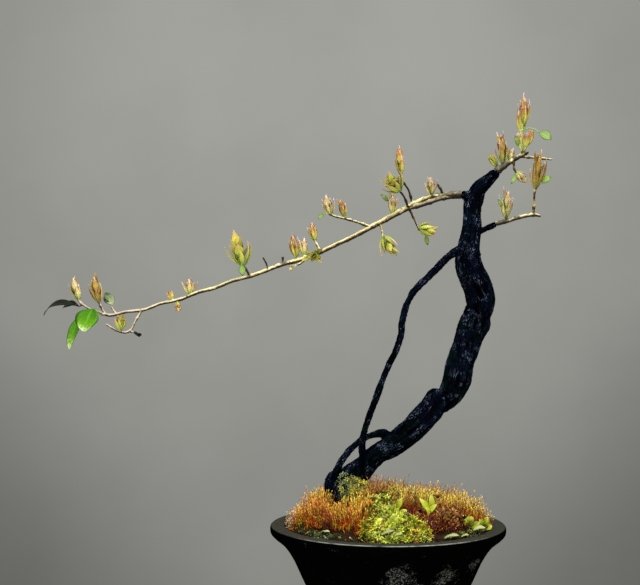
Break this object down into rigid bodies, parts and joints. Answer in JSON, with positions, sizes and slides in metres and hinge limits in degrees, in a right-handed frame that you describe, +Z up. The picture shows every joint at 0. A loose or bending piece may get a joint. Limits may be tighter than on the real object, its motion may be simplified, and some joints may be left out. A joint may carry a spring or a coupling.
{
  "type": "cathay persimmon bonsai",
  "caption": "Leaning black-barked bonsai tree with one long, low branch and young leafy shoots, in a round flared dark pot with a mound of rust, gold and lime moss.",
  "frame": {"origin": "middle of the pot's flat underside, where it rests", "axes": "+Z up along the pot's axis, -Y towards the front view, +X to the right in the front view, away from the long branch's tip"},
  "size_m": [0.4532, 0.21, 0.525],
  "materials": {
    "pot_glaze": "satin",
    "screen": "matte",
    "soil": "matte",
    "bark_black": "matte",
    "bark_tan": "matte",
    "leaf_pink": "satin",
    "leaf_amber": "satin",
    "leaf_lime": "satin",
    "leaf_green": "satin",
    "leaf_dark": "satin",
    "plantlet": "satin",
    "moss_grey": "matte",
    "moss_rust": "matte",
    "moss_lime": "matte",
    "moss_gold": "matte",
    "moss_maroon": "matte"
  },
  "bodies": {
    "root": {"pot": "pot_glaze", "drain_screen_1": "screen", "drain_screen_2": "screen", "drain_screen_3": "screen", "soil": "soil", "trunk": "bark_black", "base_moss": "moss_grey", "branch_long": "bark_tan", "branch_crown": "bark_tan", "branch_right": "bark_tan", "shoot_pink": "leaf_pink", "shoot_spire": "leaf_amber", "shoot_crest": "leaf_lime", "shoot_stalks": "leaf_pink", "shoot_hang_right": "leaf_lime", "shoot_hang_left": "leaf_lime", "shoot_fork_right": "leaf_amber", "shoot_fork_left": "leaf_pink", "shoot_flame_high": "leaf_amber", "shoot_flame_left": "leaf_amber", "shoot_flame_right": "leaf_pink", "shoot_rosette": "leaf_lime", "shoot_low_bud": "leaf_pink", "shoot_cone": "leaf_lime", "shoot_cup": "leaf_lime", "shoot_amber_up": "leaf_amber", "shoot_amber_down": "leaf_amber", "shoot_tip_cup": "leaf_lime", "shoot_tip_low": "leaf_dark", "shoot_tip_orange": "leaf_amber", "shoot_tip_pale": "leaf_pink", "leaf_grey": "leaf_dark", "shoot_crown_leader": "leaf_amber", "shoot_crown_left": "leaf_amber", "shoot_crown_low": "leaf_lime", "shoot_crown_red": "leaf_pink", "shoot_crown_under": "leaf_pink", "shoot_right_gold": "leaf_amber", "shoot_right_pink": "leaf_pink", "leaf_broad": "leaf_green", "leaf_hanging": "leaf_green", "leaf_dark": "leaf_dark", "moss_left": "moss_rust", "moss_front_left": "moss_rust", "moss_rust": "moss_rust", "moss_lime": "moss_lime", "moss_gold": "moss_gold", "moss_maroon": "moss_maroon", "moss_right": "moss_gold", "moss_back_right": "moss_rust", "moss_back": "moss_rust", "moss_back_left": "moss_rust", "plantlet_front": "plantlet", "plantlet_middle": "plantlet", "plantlet_right": "plantlet"}
  },
  "joints": []
}
